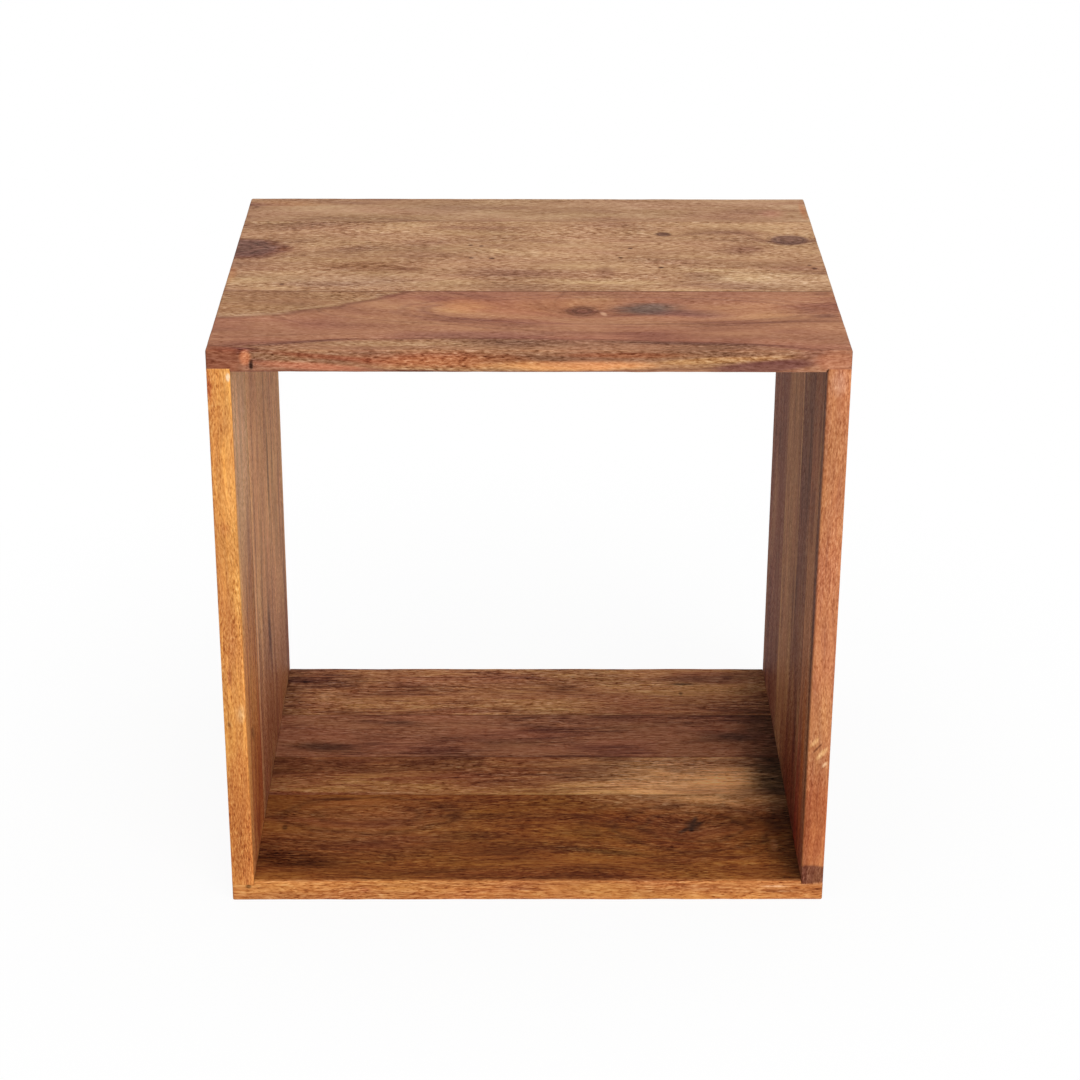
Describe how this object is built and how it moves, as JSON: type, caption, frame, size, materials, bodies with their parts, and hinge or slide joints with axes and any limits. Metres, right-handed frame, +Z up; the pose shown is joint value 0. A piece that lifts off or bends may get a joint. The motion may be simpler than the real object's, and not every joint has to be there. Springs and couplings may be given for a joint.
{
  "type": "end table",
  "caption": "Open cube end table of solid wood: a flat top over a base that serves as a shelf, upright sides, open front and back, rebated and dowelled corners.",
  "frame": {"origin": "on the floor, below the middle of the table", "axes": "+X to the right as seen from the front, +Y to the back, through the open case, +Z up"},
  "size_m": [0.435, 0.33, 0.435],
  "materials": {
    "top_red_heartwood": "satin oiled and lacquered",
    "top_tan_heartwood": "satin oiled and lacquered",
    "base_brown_heartwood": "satin oiled and lacquered",
    "base_dark_heartwood": "satin oiled and lacquered",
    "left_golden_heartwood": "satin oiled and lacquered",
    "left_brown_heartwood": "satin oiled and lacquered",
    "right_red_heartwood": "satin oiled and lacquered",
    "right_dark_heartwood": "satin oiled and lacquered",
    "right_brown_heartwood": "satin oiled and lacquered",
    "dowel_beech": "bare"
  },
  "bodies": {
    "root": {"top_front_board": "top_red_heartwood", "top_middle_board": "top_tan_heartwood", "top_back_board": "top_tan_heartwood", "base_front_board": "base_brown_heartwood", "base_second_board": "base_brown_heartwood", "base_third_board": "base_dark_heartwood", "base_back_board": "base_brown_heartwood", "left_side_front_board": "left_golden_heartwood", "left_side_middle_board": "left_brown_heartwood", "left_side_back_board": "left_brown_heartwood", "right_side_front_board": "right_red_heartwood", "right_side_second_board": "right_dark_heartwood", "right_side_third_board": "right_brown_heartwood", "right_side_back_board": "right_brown_heartwood", "top_left_dowels": "dowel_beech", "top_right_dowels": "dowel_beech", "base_left_dowels": "dowel_beech", "base_right_dowels": "dowel_beech"}
  },
  "joints": []
}
